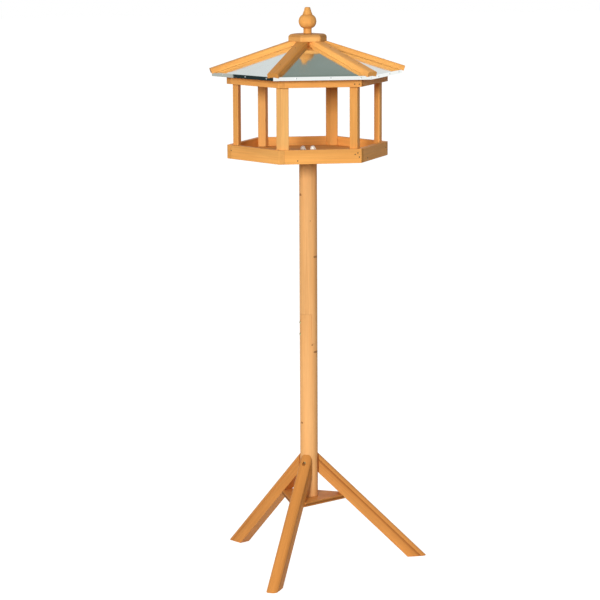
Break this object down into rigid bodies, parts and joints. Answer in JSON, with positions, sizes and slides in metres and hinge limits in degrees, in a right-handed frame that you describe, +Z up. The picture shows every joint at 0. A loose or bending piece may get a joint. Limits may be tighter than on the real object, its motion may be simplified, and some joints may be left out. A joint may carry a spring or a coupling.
{
  "type": "bird table",
  "caption": "Free-standing wooden bird table: round pole on splayed legs, hexagonal open tray with posts and a low hipped roof of folded metal sheets with a turned finial.",
  "frame": {"origin": "on the ground, under the pole's axis", "axes": "+Z up along the pole; one flat side of the hexagonal house faces -Y, so two of its corners lie on X"},
  "size_m": [0.5432, 0.5294, 1.3898],
  "materials": {
    "pole_wood": "satin, light honey stain on round pine",
    "stained_wood": "satin, honey-orange stain, fine straight grain",
    "inner_wood": "matt, the same stain, darker and drier",
    "galvanised_sheet": "bright galvanised, glossy, folded at the eaves",
    "zinc_plate": "bright zinc plate"
  },
  "bodies": {
    "root": {"lower_pole": "pole_wood", "upper_pole": "pole_wood", "leg_1": "stained_wood", "leg_2": "stained_wood", "leg_3": "stained_wood", "brace_plate": "stained_wood", "pole_foot_screw": "zinc_plate", "leg_screw_1": "zinc_plate", "leg_screw_2": "zinc_plate", "leg_screw_3": "zinc_plate", "lap_screw_1": "zinc_plate", "lap_screw_2": "zinc_plate", "tray_floor": "inner_wood", "tray_board_1": "stained_wood", "tray_board_2": "stained_wood", "tray_board_3": "stained_wood", "tray_board_4": "stained_wood", "tray_board_5": "stained_wood", "tray_board_6": "stained_wood", "tray_stud_1": "zinc_plate", "tray_stud_2": "zinc_plate", "tray_washer_1": "zinc_plate", "tray_washer_2": "zinc_plate", "tray_cap_nut_1": "zinc_plate", "tray_cap_nut_2": "zinc_plate", "post_1": "stained_wood", "post_2": "stained_wood", "post_3": "stained_wood", "post_4": "stained_wood", "post_5": "stained_wood", "post_6": "stained_wood", "ring_board_1": "stained_wood", "ring_board_2": "stained_wood", "ring_board_3": "stained_wood", "ring_board_4": "stained_wood", "ring_board_5": "stained_wood", "ring_board_6": "stained_wood", "roof_board_1": "inner_wood", "roof_board_2": "inner_wood", "roof_board_3": "inner_wood", "roof_board_4": "inner_wood", "roof_board_5": "inner_wood", "roof_board_6": "inner_wood", "roof_sheet_1": "galvanised_sheet", "roof_sheet_2": "galvanised_sheet", "roof_sheet_3": "galvanised_sheet", "roof_sheet_4": "galvanised_sheet", "roof_sheet_5": "galvanised_sheet", "roof_sheet_6": "galvanised_sheet", "rafter_1": "stained_wood", "rafter_2": "stained_wood", "rafter_3": "stained_wood", "rafter_4": "stained_wood", "rafter_5": "stained_wood", "rafter_6": "stained_wood", "apex_block": "inner_wood", "apex_nut": "zinc_plate", "finial_rod": "zinc_plate", "roof_cap": "stained_wood", "finial": "stained_wood"}
  },
  "joints": []
}
